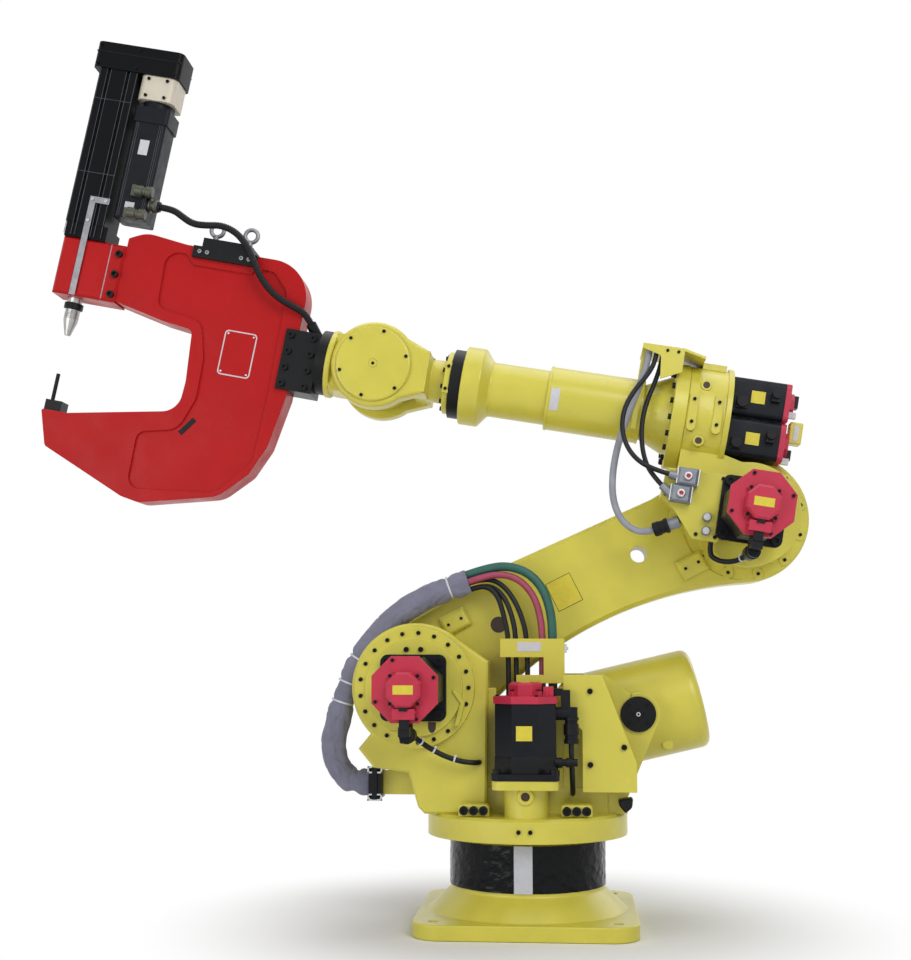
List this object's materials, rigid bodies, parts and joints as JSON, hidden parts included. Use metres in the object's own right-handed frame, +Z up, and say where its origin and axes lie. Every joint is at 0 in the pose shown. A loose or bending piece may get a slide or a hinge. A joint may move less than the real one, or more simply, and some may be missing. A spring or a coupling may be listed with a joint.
{
  "type": "industrial robot arm",
  "caption": "Floor-standing articulated robot arm with a balanced lower arm, a rolling wrist and a servo press tool on a deep C-frame.",
  "frame": {"origin": "on the turning axis, at floor level under the foot", "axes": "+X forward over the tool, +Y to the robot's left where its motors are, +Z up"},
  "size_m": [2.3091, 0.776, 2.6759],
  "materials": {
    "yellow_paint": "semi-gloss enamel over cast surfaces",
    "red_paint": "semi-gloss enamel",
    "black_motor_paint": "satin",
    "red_motor_cap": "satin moulded",
    "black_plastic": "matte",
    "black_steel": "black oxide",
    "grey_sleeve_fabric": "woven, matte",
    "green_hose_rubber": "satin",
    "red_hose_rubber": "satin",
    "black_cable_jacket": "satin",
    "grey_cable_jacket": "satin",
    "bright_steel": "ground",
    "grey_connector": "die-cast",
    "black_anodised": "anodised",
    "cream_gearbox_paint": "satin painted",
    "black_film": "glossy film"
  },
  "bodies": {
    "base": {"base_casting": "yellow_paint", "base_film_wrap": "black_film"},
    "turret": {"turret_casting": "yellow_paint", "ring_stop_blocks": "yellow_paint", "turning_motor": "black_motor_paint", "turning_motor_cap": "red_motor_cap", "shoulder_motor": "black_motor_paint", "shoulder_motor_cap": "red_motor_cap", "rear_side_plate": "yellow_paint", "hose_clamp_bracket": "yellow_paint", "sleeve_bracket": "yellow_paint", "sleeve_clamp": "black_plastic", "trunnion_caps": "black_steel", "hose_sleeve": "grey_sleeve_fabric", "green_hose": "green_hose_rubber", "red_hose": "red_hose_rubber", "dress_cable_front": "black_cable_jacket", "dress_cable_middle": "black_cable_jacket", "dress_cable_rear": "black_cable_jacket", "turning_motor_cable": "black_cable_jacket", "shoulder_motor_cable": "black_cable_jacket"},
    "lower_arm": {"lower_arm_casting": "yellow_paint", "lower_arm_stops": "yellow_paint", "lower_arm_caps": "yellow_paint"},
    "balancer_cylinder": {"balancer_cylinder": "yellow_paint"},
    "balancer_rod": {"balancer_rod": "bright_steel"},
    "elbow": {"elbow_casing": "yellow_paint", "elbow_motor": "black_motor_paint", "elbow_motor_cap": "red_motor_cap", "wrist_motors": "black_motor_paint", "wrist_motor_caps": "red_motor_cap", "connector_box": "yellow_paint", "connector_plugs": "grey_connector", "connector_ports": "grey_connector", "cable_hood": "yellow_paint", "elbow_cable_upper": "black_cable_jacket", "elbow_cable_lower": "black_cable_jacket", "elbow_grey_cable": "grey_cable_jacket", "elbow_motor_cable": "black_cable_jacket"},
    "forearm": {"forearm_tube": "yellow_paint", "forearm_cover": "yellow_paint", "wrist_ring": "black_steel", "wrist_yoke": "yellow_paint", "yoke_covers": "yellow_paint"},
    "wrist": {"wrist_housing": "yellow_paint"},
    "tool": {"tool_ring": "black_steel", "tool_adapter": "black_steel", "c_frame": "red_paint", "head_block": "red_paint", "actuator_column": "black_anodised", "belt_housing": "black_anodised", "drive_gearbox": "cream_gearbox_paint", "drive_motor": "black_motor_paint", "strip_bracket": "bright_steel", "lifting_saddle": "black_steel", "lifting_eyes": "bright_steel", "die_post": "black_steel", "cable_plug": "black_plastic", "tool_conduit": "black_cable_jacket"},
    "ram": {"punch": "bright_steel"}
  },
  "joints": [
    {"name": "turning", "type": "hinge", "parent": "base", "child": "turret", "pos_m": [0, 0, 0.252], "axis": [0, 0, 1], "range_deg": [-180, 180]},
    {"name": "shoulder", "type": "hinge", "parent": "turret", "child": "lower_arm", "pos_m": [0.312, 0, 0.67], "axis": [0, 1, 0], "range_deg": [0, 136]},
    {"name": "elbow_bend", "type": "hinge", "parent": "lower_arm", "child": "elbow", "pos_m": [-0.64326, 0, 1.16305], "axis": [0, -1, 0], "range_deg": [-4, 160]},
    {"name": "forearm_roll", "type": "hinge", "parent": "elbow", "child": "forearm", "pos_m": [-0.47002, 0, 1.46072], "axis": [0.9863, 0, 0.165], "range_deg": [-360, 360]},
    {"name": "wrist_bend", "type": "hinge", "parent": "forearm", "child": "wrist", "pos_m": [0.4423, 0, 1.61339], "axis": [0, -1, 0], "range_deg": [-45, 100]},
    {"name": "tool_roll", "type": "hinge", "parent": "wrist", "child": "tool", "pos_m": [0.5915, 0, 1.6424], "axis": [0.9816, 0, 0.1908], "range_deg": [-360, 360]},
    {"name": "punch_stroke", "type": "slide", "parent": "tool", "child": "ram", "axis": [0.1908, 0, -0.9816], "range_m": [0, 0.11]},
    {"name": "balancer_swing", "type": "hinge", "parent": "turret", "child": "balancer_cylinder", "pos_m": [-0.319, -0.085, 0.595], "axis": [0, 1, 0], "range_deg": [-50, 3]},
    {"name": "rod_eye_turn", "type": "hinge", "parent": "lower_arm", "child": "balancer_rod", "pos_m": [0.2088, -0.085, 0.47006], "axis": [0, 1, 0], "range_deg": [-186, 3]}
  ],
  "couplings": [
    {"joint": "balancer_swing", "follows": "shoulder", "ratio": -0.345},
    {"joint": "rod_eye_turn", "follows": "shoulder", "ratio": -1.345}
  ]
}
